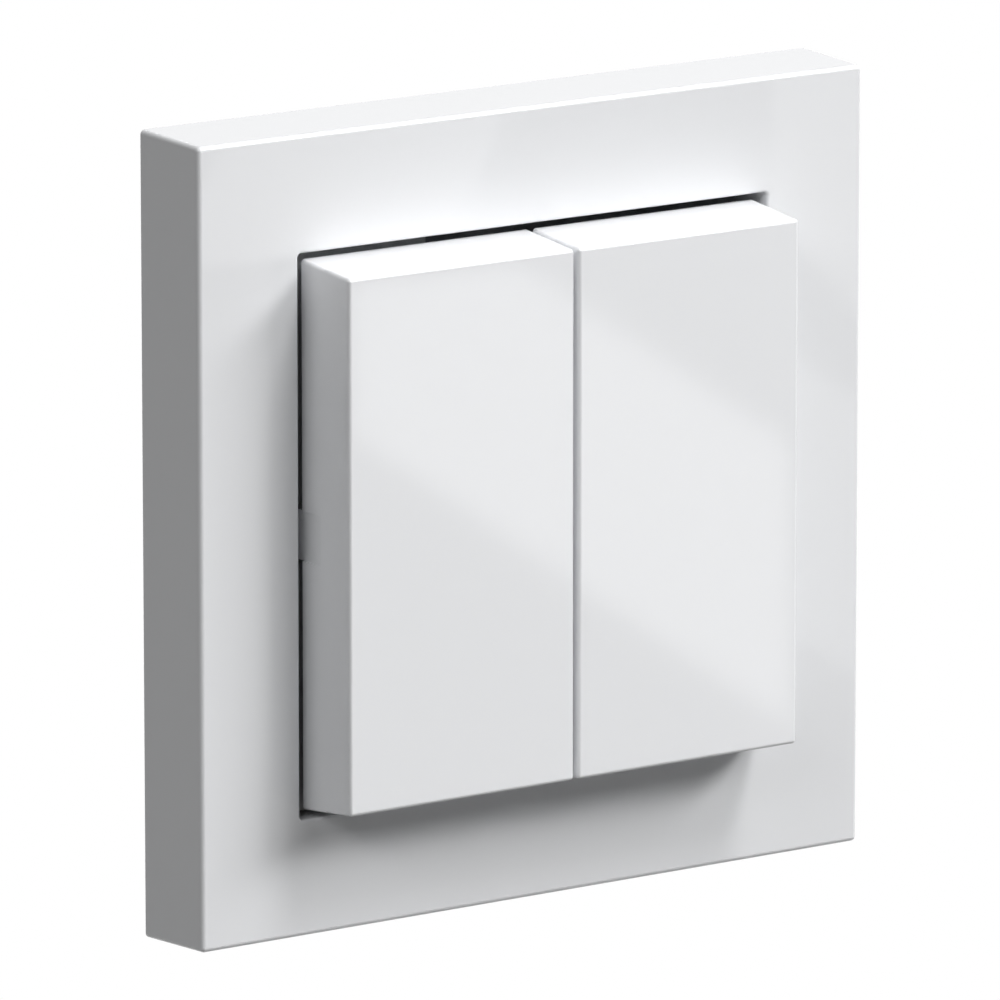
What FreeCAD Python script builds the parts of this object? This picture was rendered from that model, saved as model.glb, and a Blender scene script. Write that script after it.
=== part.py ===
import FreeCAD, Part
import math
import os

from FreeCAD import Vector

# Wireless wall switch with two rockers.
# It is modelled lying on its back: X to the right, Y up the wall, Z the distance from the wall.
# At the end every piece is stood up, so that +Z is up and the rockers face -Y.
# The origin is the centre of the wall face. All sizes are in millimetres.

# Cover frame
FRAME_BORDER = 11.65       # of the front face beside the opening
FRAME_DEPTH = 9.66         # from the wall to the front face
FLARE_X = 0.23             # each side leans out by this much towards the wall
FLARE_Y = 0.37             # the same for the top and the bottom
FRAME_WALL = 1.8
FRAME_FACE = 2.0           # thickness of the front wall
FRAME_EDGE_R = 0.5
OPENING_X = 56.7
OPENING_Y = 56.6
OPENING_CORNER_R = 0.45
OPENING_EDGE_R = 0.3
COLLAR_WALL = 1.3          # wall that runs back from the opening
COLLAR_DEPTH = 5.4
RIB_WIDTH = 1.6            # ribs that seat the frame on the mounting plate
RIB_OFFSET = 22.0          # of each rib from the middle of its side
RIB_SEAT = 3.0             # how far a rib reaches in over the plate
RIB_BACK = 0.3             # rear end of a rib above the wall
BEAD = 0.5                 # how far the snap bead reaches behind the plate
BEAD_NOSE = 0.25           # flat nose of the bead
BEAD_CLEAR = 0.1           # between the bead and the back of the plate

# Mounting plate and its pads
PAD_GAP = 1.0              # from the wall to the back of the plate
PAD_RECESS = 0.3
PAD_LENGTH = 20.0
PAD_EDGE = 1.4             # from a pad to the plate's edge and to the rim round the window
PAD_OFFSET_X = 20.5
PLATE_MARGIN = 4.0         # from the edge of the frame's front face to the edge of the plate
PLATE_THICKNESS = 1.8
PLATE_CORNER_R = 3.0
PLATE_CLEAR = 0.15         # between the plate's edge and the ribs of the frame
UPSTAND_HEIGHT = 3.4       # rim that carries the module
UPSTAND_WALL = 1.2
SCREW_SPACING = 60.0       # of the wall screws, as on a flush box
SLOT_WIDTH = 3.8
SLOT_LENGTH = 6.6
CATCH_WIDTH = 5.0          # spring catches in the rim, which hold the module's case
CATCH_OFFSET = 12.0        # of each catch from mid-height
CATCH_REACH = 0.9          # how far the nose of a catch stands in from the rim
CATCH_FLAT = 0.4           # flat end of the nose
CATCH_HEIGHT = 1.5
CATCH_DROP = 2.2           # from the flange to the back of the nose
CATCH_SLIT = 0.8           # on both sides of a catch
CATCH_CLEAR = 0.05         # between the nose and the case it holds
CATCH_FREE = 0.25          # between the nose and the other sides of its window

# Module case
FLANGE_CLEAR = 0.35        # between the flange and the frame's opening
FLANGE_THICKNESS = 1.0
FLANGE_CORNER_R = 1.2
FLANGE_STEP_X = -11.6      # right of this the flange's top edge is cut back
FLANGE_STEP = 1.7
CASE_INSET = 4.4           # from the flange's edge to the walls of the case
CASE_WALL = 1.2
CASE_CORNER_R = 1.5
CASE_FLOOR = 1.0           # thickness of the rear cover
CASE_BACK = 0.5            # from the wall to the rear cover
WINDOW_CLEAR = 0.3         # between the case and the plate's window
ISLAND_ROOF = 1.2          # of the two raised fields in front of the flange
ISLAND_EDGE_R = 0.8
CHANNEL_HALF = 2.8         # half the channel between the raised fields
LIP_WALL = 1.0
LIP_HEIGHT = 1.2
LIP_CLEAR = 0.15

# Rockers
ROCKER_CLEAR_X = 1.02      # between the rear edge of a rocker and the opening
ROCKER_CLEAR_Y = 0.77
ROCKER_DRAFT_X = 0.19      # each side leans in by this much towards the front
ROCKER_DRAFT_Y = 0.81
ROCKER_HEIGHT = 7.85
ROCKER_GAP = 0.5           # between the two rockers
ROCKER_TOP = 1.8
ROCKER_WALL = 1.5
ROCKER_EDGE_R = 0.38
ROCKER_RIB_WIDTH = 1.0
ROCKER_RIB_HEIGHT = 1.4
ROCKER_RIB_Y = 9.0
ROCKER_RIB_X = 6.0
TILT_DEG = 2.5             # each way from level

# Hinge of a rocker
PIVOT_HEIGHT = 1.8         # of the hinge axis above the flange
PIVOT_TO_EDGE = 0.32       # from the rocker's rear edge to the axis
EAR_WIDTH = 5.0
EAR_REACH = 2.4            # of the outer ear behind the axis
EAR_INSET = 0.25           # of the ear's outer face from the rocker's side
EAR_RECESS_LENGTH = 3.1    # of the shallow wedge in front of the ear
EAR_CORNER_R = 1.2
EAR_THICKNESS = 2.08
EAR_SLOT_CLEAR = 0.35
PIN_R = 1.5
PIN_RUNNING = 0.06         # radial clearance of a pin in its ear
PIN_ENGAGED = 1.3
PIN_CHAMFER = 0.3
PIN_END_CLEAR = 0.2
PIN_BOSS_R = 2.4
INNER_PIN_R = 1.0
INNER_EAR_REACH = 1.7
INNER_EAR_WIDTH = 4.0
INNER_EAR_THICKNESS = 1.95
INNER_EAR_INSET = 0.1
INNER_PIN_ENGAGED = 1.1
POCKET_DEPTH = 0.5         # in the flange, under the inner ears
POCKET_CLEAR = 0.6

# Plungers, silicone mats and contact pills
PLUNGER_END = 5.35         # from a plunger's axis to the inside of the case's end
PLUNGER_R = 2.0
PLUNGER_RUNNING = 0.05
PLUNGER_TIP_R = 2.2
PLUNGER_TIP = 0.1
PLUNGER_COLLAR_R = 3.0
PLUNGER_COLLAR = 0.6
PLUNGER_STOP = 0.16        # left between the collar and the roof when the plunger is out
PLUNGER_PROUD = 0.2        # left of the plunger in front of its guide when it is in
PLUNGER_CHAMFER = 0.3
GUIDE_R = 3.2
GUIDE_HEIGHT = 0.3
FOOT_R = 1.0
FOOT_LENGTH = 5.0
FOOT_CLEAR = 0.05
MAT_HALF_WIDTH = 4.2
MAT_END = 0.9              # from the end of the mat to the wall of the case
MAT_THICKNESS = 0.8
MAT_CORNER_R = 1.0
DOME_R = 4.0
DOME_HEIGHT = 1.8
DOME_WEB = 0.45
DOME_TOP_R = 2.4
DOME_KEY = 0.72            # height of the solid key on top of the dome
PILL_R = 1.5
PILL_THICKNESS = 0.4
PILL_STOP = 0.06           # left between the pill and the board when the plunger is in

# Circuit board and what it carries
BOARD_THICKNESS = 1.0
BOARD_CLEAR = 0.2
BOARD_CORNER_R = 1.3
SCREW_INSET = 2.4          # of a case screw from the inside of the case
SCREW_R = 0.8
SCREW_LENGTH = 8.0
SCREW_HEAD_R = 1.6
SCREW_HEAD = 1.0
SCREW_CROSS = 0.95         # half the length of the cross recess
SCREW_NOTCH = 0.2          # half its width
SCREW_RUNNING = 0.02
SCREW_PASS = 0.25          # radial clearance in the rear cover and the board
HEAD_CLEAR = 0.2
POST_R = 2.1
CELL_R = 10.0
CELL_HEIGHT = 3.2
CELL_CAP_EDGE = 1.3        # from the cell's edge to its cap
CELL_CAP = 0.3
CELL_EDGE_R = 0.5
CELL_CLEAR = 0.1           # between the cell and the battery cover
COVER_MARGIN = 1.5         # of the battery cover round the cell
COVER_CLEAR = 0.2
COVER_LIP_CLEAR = 0.6      # between the circle of the lugs and the lip of the rear cover
COVER_LUG_REACH = 1.1
COVER_LUG = 0.65
COVER_LUG_DEG = 26.0
COVER_LUG_PLAY_DEG = 4.0   # how much wider the notch for a lug is
COVER_LUG_CLEAR = 0.05
COVER_TURN_DEG = 45.0
COIN_SLOT_LENGTH = 13.0
COIN_SLOT_WIDTH = 1.8
COIN_SLOT_DEPTH = 0.5
HOLDER_WALL = 2.0
HOLDER_CLEAR = 0.2
HOLDER_LIFT = 0.15         # of the holder above the lugs of the battery cover
CONTACT_SHEET = 0.3
PLUS_WIDTH = 5.0
PLUS_FOOT = 3.0
PLUS_REACH = 2.2
PLUS_CLEAR = 0.05
MINUS_WIDTH = 4.0
MINUS_LENGTH = 14.0
MINUS_SHEET = 0.2
MINUS_BUMP = 2.0
CHIP_SIZE = 7.0
CHIP_HEIGHT = 0.9
CHIP_X = -11.0
CHIP_Y = 11.0
CRYSTAL_LENGTH = 3.2
CRYSTAL_WIDTH = 2.5
CRYSTAL_HEIGHT = 0.8
CRYSTAL_GAP = 1.6
SMALL_LENGTH = 1.6         # of the small chip components
SMALL_WIDTH = 0.8
SMALL_HEIGHT = 0.6
SMALL_COUNT = 7
SMALL_PITCH = 2.4
SMALL_X = 1.5
SMALL_Y = 14.0
AERIAL_R = 0.4
AERIAL_LENGTH = 26.0
AERIAL_X = -1.0
AERIAL_LIFT = 0.8
AERIAL_EDGE = 3.2          # of the aerial from the inside of the case

# Half sizes across the wall, worked out from the sizes
opening_x = OPENING_X / 2
opening_y = OPENING_Y / 2
frame_half = opening_x + FRAME_BORDER
frame_back_x = frame_half + FLARE_X
frame_back_y = frame_half + FLARE_Y
plate_half = frame_half - PLATE_MARGIN
flange_x = opening_x - FLANGE_CLEAR
flange_y = opening_y - FLANGE_CLEAR
case_x = flange_x - CASE_INSET
case_y = flange_y - CASE_INSET
inside_x = case_x - CASE_WALL
inside_y = case_y - CASE_WALL
window_x = case_x + WINDOW_CLEAR
window_y = case_y + WINDOW_CLEAR
rim_x = window_x + UPSTAND_WALL
rim_y = window_y + UPSTAND_WALL
pad_y = (plate_half + rim_y) / 2
pad_width = plate_half - rim_y - 2 * PAD_EDGE
rocker_x = opening_x - ROCKER_CLEAR_X
rocker_y = opening_y - ROCKER_CLEAR_Y
screw_x = inside_x - SCREW_INSET
screw_y = inside_y - SCREW_INSET
plunger_y = inside_y - PLUNGER_END
island_mid = (CHANNEL_HALF + case_x) / 2
ear_face = rocker_x - EAR_INSET - EAR_THICKNESS
lip_x = inside_x - LIP_CLEAR
lip_y = inside_y - LIP_CLEAR
cell_cap_r = CELL_R - CELL_CAP_EDGE
cover_r = CELL_R + COVER_MARGIN
lug_r = cover_r + COVER_LUG_REACH
cell_y = lug_r + COVER_LIP_CLEAR + LIP_WALL - lip_y

# Levels above the wall
plate_back = PAD_GAP
plate_front = plate_back + PLATE_THICKNESS
flange_back = plate_front + UPSTAND_HEIGHT
flange_front = flange_back + FLANGE_THICKNESS
board_front = flange_back
board_back = board_front - BOARD_THICKNESS
case_back = CASE_BACK + CASE_FLOOR
catch_back = flange_back - CATCH_DROP
catch_front = catch_back + CATCH_HEIGHT
pivot_z = flange_front + PIVOT_HEIGHT
rocker_back = pivot_z - PIVOT_TO_EDGE
rocker_front = rocker_back + ROCKER_HEIGHT
rocker_inner = rocker_front - ROCKER_TOP
plunger_travel = plunger_y * math.radians(TILT_DEG)
mat_front = board_front + MAT_THICKNESS
dome_front = mat_front + DOME_HEIGHT
pill_back = board_front + plunger_travel + PILL_STOP
pill_front = pill_back + PILL_THICKNESS
collar_back = dome_front + PLUNGER_TIP
collar_front = collar_back + PLUNGER_COLLAR
roof_back = collar_front + plunger_travel + PLUNGER_STOP
roof_front = roof_back + ISLAND_ROOF
guide_front = roof_front + GUIDE_HEIGHT
plunger_front = guide_front + plunger_travel + PLUNGER_PROUD
cell_back = case_back + CELL_CLEAR
cell_front = cell_back + CELL_HEIGHT

SIDES = (-1, 1)


def box(x0, x1, y0, y1, z0, z1):
    """A box between two corners, given in either order."""
    low = Vector(min(x0, x1), min(y0, y1), min(z0, z1))
    return Part.makeBox(abs(x1 - x0), abs(y1 - y0), abs(z1 - z0), low)


def disc(x, y, radius, z0, z1):
    """An upright cylinder from z0 to z1."""
    return Part.makeCylinder(radius, z1 - z0, Vector(x, y, z0))


def bar(x0, x1, radius, y, z):
    """A cylinder along X from x0 to x1."""
    return Part.makeCylinder(radius, abs(x1 - x0), Vector(min(x0, x1), y, z), Vector(1, 0, 0))


def upright_edges(shape):
    """The edges that run along Z."""
    found = []
    for edge in shape.Edges:
        ends = [v.Point for v in edge.Vertexes]
        if len(ends) == 2 and abs(ends[0].z - ends[1].z) > 1e-3:
            if abs(ends[0].x - ends[1].x) < 1e-3 and abs(ends[0].y - ends[1].y) < 1e-3:
                found.append(edge)
    return found


def edges_at(shape, level, reach_x=math.inf, reach_y=math.inf):
    """The edges that lie at one level, within a distance from the centre."""
    found = []
    for edge in shape.Edges:
        size = edge.BoundBox
        flat = abs(size.ZMin - level) < 1e-3 and abs(size.ZMax - level) < 1e-3
        near = max(-size.XMin, size.XMax) < reach_x and max(-size.YMin, size.YMax) < reach_y
        if flat and near:
            found.append(edge)
    return found


def plate(half_x, half_y, radius, z0, z1):
    """A centred plate with rounded corners."""
    blank = box(-half_x, half_x, -half_y, half_y, z0, z1)
    return blank.makeFillet(radius, upright_edges(blank))


def ring(outer_x, outer_y, wall, radius, z0, z1):
    """A centred rim with rounded outer corners and square inner ones."""
    hollow = box(wall - outer_x, outer_x - wall, wall - outer_y, outer_y - wall, z0, z1)
    return plate(outer_x, outer_y, radius, z0, z1).cut(hollow)


def tapered(back, front, z0, z1):
    """A block whose section goes from one rectangle (x0, x1, y0, y1) to another."""
    wires = []
    for (x0, x1, y0, y1), z in ((back, z0), (front, z1)):
        corners = [Vector(x0, y0, z), Vector(x1, y0, z), Vector(x1, y1, z), Vector(x0, y1, z)]
        wires.append(Part.makePolygon(corners + corners[:1]))
    return Part.makeLoft(wires, True, True)


def turned(points, x, y):
    """A body of revolution about an upright axis, from (radius, height) points."""
    corners = [Vector(r, 0, z) for r, z in points]
    face = Part.Face(Part.makePolygon(corners + corners[:1]))
    body = face.revolve(Vector(0, 0, 0), Vector(0, 0, 1), 360)
    body.translate(Vector(x, y, 0))
    return body


def strip(points, x, width):
    """A bent strip: a (y, z) outline drawn out to a width along X, centred on x."""
    corners = [Vector(x - width / 2, y, z) for y, z in points]
    return Part.Face(Part.makePolygon(corners + corners[:1])).extrude(Vector(width, 0, 0))


def sector(x, y, r0, r1, z0, z1, middle_deg, width_deg):
    """Part of a flat ring, as wide as an angle, about an upright axis."""
    wedge = Part.makeCylinder(r1, z1 - z0, Vector(0, 0, z0), Vector(0, 0, 1), width_deg)
    wedge = wedge.cut(disc(0, 0, r0, z0, z1))
    wedge.rotate(Vector(0, 0, 0), Vector(0, 0, 1), middle_deg - width_deg / 2)
    wedge.translate(Vector(x, y, 0))
    return wedge


def fused(shapes):
    """One solid from shapes that meet."""
    return shapes[0].multiFuse(shapes[1:]).removeSplitter()


def rocker_outline(inset, z):
    """The pair of rockers' half sizes at a level, less a wall."""
    share = (z - rocker_back) / ROCKER_HEIGHT
    half_x = rocker_x - share * ROCKER_DRAFT_X - inset
    half_y = rocker_y - share * ROCKER_DRAFT_Y - inset
    return half_x, half_y


def frame_rib():
    """A rib in the hollow of the frame, at the +X side: it seats on the plate and snaps behind it."""
    in_wall = frame_half - FRAME_WALL / 2
    in_collar = opening_x + COLLAR_WALL / 2
    guide = plate_half + PLATE_CLEAR
    nose = plate_half - BEAD
    hook = plate_back - BEAD_CLEAR
    rim_back = FRAME_DEPTH - COLLAR_DEPTH
    in_face = FRAME_DEPTH - FRAME_FACE / 2
    outline = [
        (in_wall, RIB_BACK),
        (guide, RIB_BACK),
        (nose, hook - BEAD_NOSE),
        (nose, hook),
        (guide, hook),
        (guide, plate_front),
        (plate_half - RIB_SEAT, plate_front),
        (in_collar, rim_back),
        (in_collar, in_face),
        (in_wall, in_face),
    ]
    corners = [Vector(x, -RIB_WIDTH / 2, z) for x, z in outline]
    return Part.Face(Part.makePolygon(corners + corners[:1])).extrude(Vector(0, RIB_WIDTH, 0))


def make_cover_frame():
    """The drafted frame: a thin shell with a collar round its opening and ribs inside."""
    back = (-frame_back_x, frame_back_x, -frame_back_y, frame_back_y)
    front = (-frame_half, frame_half, -frame_half, frame_half)
    body = tapered(back, front, 0, FRAME_DEPTH)
    rounded = [e for e in body.Edges if e.BoundBox.ZMax > FRAME_DEPTH - 1e-3]
    body = body.makeFillet(FRAME_EDGE_R, rounded)
    hollow_back = tuple(v - math.copysign(FRAME_WALL, v) for v in back)
    hollow_front = tuple(v - math.copysign(FRAME_WALL, v) for v in front)
    hollow = tapered(hollow_back, hollow_front, 0, FRAME_DEPTH - FRAME_FACE)
    collar_x = opening_x + COLLAR_WALL
    collar_y = opening_y + COLLAR_WALL
    collar = plate(collar_x, collar_y, COLLAR_WALL, FRAME_DEPTH - COLLAR_DEPTH, FRAME_DEPTH)
    body = body.cut(hollow.cut(collar))
    ribs = []
    for turn in range(4):
        for side in SIDES:
            rib = frame_rib()
            rib.translate(Vector(0, side * RIB_OFFSET, 0))
            rib.rotate(Vector(0, 0, 0), Vector(0, 0, 1), 90 * turn)
            ribs.append(rib)
    body = body.multiFuse(ribs)
    body = body.cut(plate(opening_x, opening_y, OPENING_CORNER_R, 0, FRAME_DEPTH))
    body = body.removeSplitter()
    rim = edges_at(body, FRAME_DEPTH, opening_x + 0.1, opening_y + 0.1)
    return body.makeFillet(OPENING_EDGE_R, rim)


def slot(x, y, along_x):
    """A cutter for a round-ended screw slot that runs along X or along Y."""
    reach = (SLOT_LENGTH - SLOT_WIDTH) / 2
    step_x = reach if along_x else 0
    step_y = 0 if along_x else reach
    radius = SLOT_WIDTH / 2
    wide_x = step_x + (0 if along_x else radius)
    wide_y = step_y + (radius if along_x else 0)
    return fused([
        disc(x - step_x, y - step_y, radius, plate_back, plate_front),
        disc(x + step_x, y + step_y, radius, plate_back, plate_front),
        box(x - wide_x, x + wide_x, y - wide_y, y + wide_y, plate_back, plate_front),
    ])


def catch_nose(side_x, side_y):
    """The nose of a spring catch: flat behind, sloping in front, on the inside of the rim."""
    in_rim = window_x + UPSTAND_WALL / 2
    outline = [
        (in_rim, catch_back),
        (window_x - CATCH_REACH, catch_back),
        (window_x - CATCH_REACH, catch_back + CATCH_FLAT),
        (window_x, catch_front),
        (in_rim, catch_front),
    ]
    y = side_y * CATCH_OFFSET - CATCH_WIDTH / 2
    corners = [Vector(side_x * x, y, z) for x, z in outline]
    return Part.Face(Part.makePolygon(corners + corners[:1])).extrude(Vector(0, CATCH_WIDTH, 0))


def pad_places():
    """The centres of the four adhesive pads."""
    return [(x * PAD_OFFSET_X, y * pad_y) for x in SIDES for y in SIDES]


def make_mounting_plate():
    """The plate on the wall, with a rim that carries the module and spring catches that hold it."""
    body = plate(plate_half, plate_half, PLATE_CORNER_R, plate_back, plate_front)
    rim = plate(rim_x, rim_y, CASE_CORNER_R + UPSTAND_WALL, plate_back, flange_back)
    body = fused([body, rim])
    body = body.cut(plate(window_x, window_y, CASE_CORNER_R, plate_back, flange_back))
    body = fused([body] + [catch_nose(x, y) for x in SIDES for y in SIDES])
    reach = SCREW_SPACING / 2
    cutters = []
    for side in SIDES:
        cutters.append(slot(side * reach, 0, True))
        cutters.append(slot(0, side * reach, False))
    slit_step = (CATCH_WIDTH + CATCH_SLIT) / 2
    for side_x, side_y in corners_of(1, 1):
        for step in (-slit_step, slit_step):
            y = side_y * CATCH_OFFSET + step
            cutters.append(box(side_x * window_x, side_x * rim_x, y - CATCH_SLIT / 2, y + CATCH_SLIT / 2,
                               plate_front, flange_back))
    for x, y in pad_places():
        cutters.append(pad(x, y, plate_back, plate_back + PAD_RECESS))
    return body.cut(Part.makeCompound(cutters))


def pad(x, y, z0, z1):
    """One adhesive pad, or the recess for it."""
    return box(x - PAD_LENGTH / 2, x + PAD_LENGTH / 2, y - pad_width / 2, y + pad_width / 2, z0, z1)


def make_adhesive_pads():
    """The four foam pads between the plate and the wall."""
    return Part.makeCompound([pad(x, y, 0, plate_back + PAD_RECESS) for x, y in pad_places()])


def corners_of(x, y):
    """The four places at plus and minus x and y."""
    return [(side_x * x, side_y * y) for side_x in SIDES for side_y in SIDES]


def make_module_front_case():
    """The front moulding of the module: flange, skirt, two raised fields, guides and hinge pins."""
    body = plate(flange_x, flange_y, FLANGE_CORNER_R, flange_back, flange_front)
    step_y = flange_y - FLANGE_STEP
    body = body.cut(box(FLANGE_STEP_X, flange_x, step_y, flange_y, flange_back, flange_front))
    solids = [body, plate(case_x, case_y, CASE_CORNER_R, case_back, flange_front)]
    for side in SIDES:
        island = box(side * CHANNEL_HALF, side * case_x, -case_y, case_y, flange_back, roof_front)
        soft = upright_edges(island) + edges_at(island, roof_front)
        solids.append(island.makeFillet(ISLAND_EDGE_R, soft))
        pin_end = side * (ear_face + PIN_ENGAGED)
        pin = bar(side * (case_x - CASE_WALL / 2), pin_end, PIN_R, 0, pivot_z)
        tip = [e for e in pin.Edges if e.BoundBox.XLength < 1e-3 and abs(e.BoundBox.XMin - pin_end) < 1e-3]
        solids.append(pin.makeChamfer(PIN_CHAMFER, tip))
        solids.append(bar(side * (case_x - CASE_WALL / 2), side * (ear_face - PIN_END_CLEAR),
                          PIN_BOSS_R, 0, pivot_z))
        inner_end = side * (ROCKER_GAP / 2 + INNER_EAR_INSET + INNER_EAR_THICKNESS - INNER_PIN_ENGAGED)
        solids.append(bar(side * (CHANNEL_HALF + CASE_WALL / 2), inner_end, INNER_PIN_R, 0, pivot_z))
        for side_y in SIDES:
            solids.append(disc(side * island_mid, side_y * plunger_y, GUIDE_R, roof_back, guide_front))
    body = fused(solids)
    hollows = [plate(inside_x, inside_y, BOARD_CORNER_R, case_back, flange_back)]
    for side in SIDES:
        hollows.append(box(side * (CHANNEL_HALF + CASE_WALL), side * inside_x, -inside_y, inside_y,
                           flange_back, roof_back))
    body = body.cut(Part.makeCompound(hollows))
    bosses = []
    cutters = []
    for x, y in corners_of(screw_x, screw_y):
        bosses.append(disc(x, y, POST_R, board_front, roof_back))
        cutters.append(disc(x, y, SCREW_R + SCREW_RUNNING, board_front, roof_back))
    body = fused([body] + bosses)
    for x, y in corners_of(island_mid, plunger_y):
        cutters.append(disc(x, y, PLUNGER_R + PLUNGER_RUNNING, roof_back, guide_front))
    window_half = CATCH_WIDTH / 2 + CATCH_FREE
    for side in SIDES:
        for y in (-CATCH_OFFSET, CATCH_OFFSET):
            cutters.append(box(side * inside_x, side * case_x, y - window_half, y + window_half,
                               catch_back - CATCH_CLEAR, catch_front + CATCH_FREE))
        slot_half = EAR_WIDTH / 2 + EAR_SLOT_CLEAR
        cutters.append(box(side * (ear_face - PIN_END_CLEAR), side * flange_x, -slot_half, slot_half,
                           flange_back, flange_front))
    pocket_y = INNER_EAR_WIDTH / 2 + POCKET_CLEAR
    cutters.append(box(-CHANNEL_HALF, CHANNEL_HALF, -pocket_y, pocket_y,
                       flange_front - POCKET_DEPTH, flange_front))
    return body.cut(Part.makeCompound(cutters))


def make_module_rear_cover():
    """The cover at the back of the module, with screw posts and the opening for the cell."""
    solids = [plate(case_x, case_y, CASE_CORNER_R, CASE_BACK, case_back)]
    solids.append(ring(lip_x, lip_y, LIP_WALL, BOARD_CORNER_R, case_back, case_back + LIP_HEIGHT))
    for x, y in corners_of(screw_x, screw_y):
        solids.append(disc(x, y, POST_R, case_back, board_back))
    body = fused(solids)
    cutters = [disc(0, cell_y, cover_r + COVER_CLEAR, CASE_BACK, case_back)]
    for number in range(3):
        angle = 90 + 120 * number - COVER_TURN_DEG
        cutters.append(sector(0, cell_y, cover_r, lug_r + COVER_CLEAR, CASE_BACK, case_back,
                              angle, COVER_LUG_DEG + COVER_LUG_PLAY_DEG))
    for x, y in corners_of(screw_x, screw_y):
        head_front = CASE_BACK + HEAD_CLEAR / 2 + SCREW_HEAD
        cutters.append(disc(x, y, SCREW_HEAD_R + HEAD_CLEAR, CASE_BACK, head_front))
        cutters.append(disc(x, y, SCREW_R + SCREW_PASS, CASE_BACK, board_back))
    return body.cut(Part.makeCompound(cutters))


def make_case_screws():
    """The four screws that hold the case, the board and the rear cover together."""
    screws = []
    head_back = CASE_BACK + HEAD_CLEAR / 2
    head_front = head_back + SCREW_HEAD
    for x, y in corners_of(screw_x, screw_y):
        head = disc(x, y, SCREW_HEAD_R, head_back, head_front)
        depth = head_back + SCREW_HEAD / 2
        for reach_x, reach_y in ((SCREW_CROSS, SCREW_NOTCH), (SCREW_NOTCH, SCREW_CROSS)):
            head = head.cut(box(x - reach_x, x + reach_x, y - reach_y, y + reach_y, head_back, depth))
        shank = disc(x, y, SCREW_R, head_front, head_front + SCREW_LENGTH)
        screws.append(fused([head, shank]))
    return Part.makeCompound(screws)


def make_battery_cover():
    """A round cover with a coin slot and three bayonet lugs."""
    body = disc(0, cell_y, cover_r, CASE_BACK, case_back)
    edge = edges_at(body, CASE_BACK)
    body = body.makeChamfer(COVER_CLEAR, edge)
    solids = [body]
    root = cover_r - CASE_FLOOR / 2
    for number in range(3):
        angle = 90 + 120 * number
        lug_back = case_back + COVER_LUG_CLEAR
        lug_front = case_back + COVER_LUG
        solids.append(sector(0, cell_y, root, cover_r, case_back, lug_front, angle, COVER_LUG_DEG))
        solids.append(sector(0, cell_y, root, lug_r, lug_back, lug_front, angle, COVER_LUG_DEG))
    body = fused(solids)
    half = COIN_SLOT_LENGTH / 2
    return body.cut(box(-half, half, cell_y - COIN_SLOT_WIDTH / 2, cell_y + COIN_SLOT_WIDTH / 2,
                        CASE_BACK, CASE_BACK + COIN_SLOT_DEPTH))


def make_coin_cell():
    """A round lithium cell: a can with the smaller cap towards the board."""
    can = disc(0, cell_y, CELL_R, cell_back, cell_front - CELL_CAP)
    rims = edges_at(can, cell_back) + edges_at(can, cell_front - CELL_CAP)
    can = can.makeFillet(CELL_EDGE_R, rims)
    return fused([can, disc(0, cell_y, cell_cap_r, cell_front - CELL_CAP, cell_front)])


def make_battery_holder():
    """The moulded ring on the board that keeps the cell in place, open where the contact reaches in."""
    inner = CELL_R + HOLDER_CLEAR
    back = case_back + COVER_LUG + HOLDER_LIFT
    body = disc(0, cell_y, inner + HOLDER_WALL, back, board_back)
    body = body.cut(disc(0, cell_y, inner, back, board_back))
    gap = PLUS_WIDTH / 2 + HOLDER_CLEAR
    top = cell_y + inner + HOLDER_WALL
    body = body.cut(box(-gap, gap, cell_y, top, back, board_back))
    soft = edges_at(body, back)
    return body.makeChamfer(HOLDER_CLEAR, soft)


def make_battery_plus_contact():
    """The bent sheet that touches the rim of the cell."""
    inner = cell_y + CELL_R + PLUS_CLEAR
    outer = inner + CONTACT_SHEET
    outline = [
        (inner, board_back - PLUS_REACH),
        (outer, board_back - PLUS_REACH),
        (outer, board_back - CONTACT_SHEET),
        (outer + PLUS_FOOT, board_back - CONTACT_SHEET),
        (outer + PLUS_FOOT, board_back),
        (inner, board_back),
    ]
    return strip(outline, 0, PLUS_WIDTH)


def make_battery_minus_contact():
    """The leaf spring under the cap of the cell."""
    half = MINUS_LENGTH / 2
    leaf = board_back - MINUS_SHEET
    outline = [
        (cell_y - half, board_back),
        (cell_y - half, leaf),
        (cell_y - MINUS_BUMP, leaf),
        (cell_y - MINUS_BUMP / 2, cell_front),
        (cell_y + MINUS_BUMP / 2, cell_front),
        (cell_y + MINUS_BUMP, leaf),
        (cell_y + half, leaf),
        (cell_y + half, board_back),
    ]
    return strip(outline, 0, MINUS_WIDTH)


def make_circuit_board():
    """The board, clamped between the rear cover's posts and the front case's bosses."""
    body = plate(inside_x - BOARD_CLEAR, inside_y - BOARD_CLEAR, BOARD_CORNER_R, board_back, board_front)
    hole_r = SCREW_R + SCREW_PASS
    holes = [disc(x, y, hole_r, board_back, board_front) for x, y in corners_of(screw_x, screw_y)]
    return body.cut(Part.makeCompound(holes))


def on_board(x, y, length, width, height):
    """A square component on the rear face of the board."""
    return box(x - length / 2, x + length / 2, y - width / 2, y + width / 2, board_back - height, board_back)


def make_chip_components():
    """A row of small components."""
    places = [SMALL_X + number * SMALL_PITCH for number in range(SMALL_COUNT)]
    return Part.makeCompound([on_board(x, SMALL_Y, SMALL_WIDTH, SMALL_LENGTH, SMALL_HEIGHT) for x in places])


def make_antenna_wire():
    """The aerial: a wire along the top of the board with both ends bent down to it."""
    x0 = AERIAL_X - AERIAL_LENGTH / 2
    x1 = AERIAL_X + AERIAL_LENGTH / 2
    y = inside_y - AERIAL_EDGE
    z = board_back - AERIAL_LIFT
    solids = [bar(x0, x1, AERIAL_R, y, z)]
    for x in (x0, x1):
        solids.append(Part.makeSphere(AERIAL_R, Vector(x, y, z)))
        solids.append(disc(x, y, AERIAL_R, z, board_back))
    return fused(solids)


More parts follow.
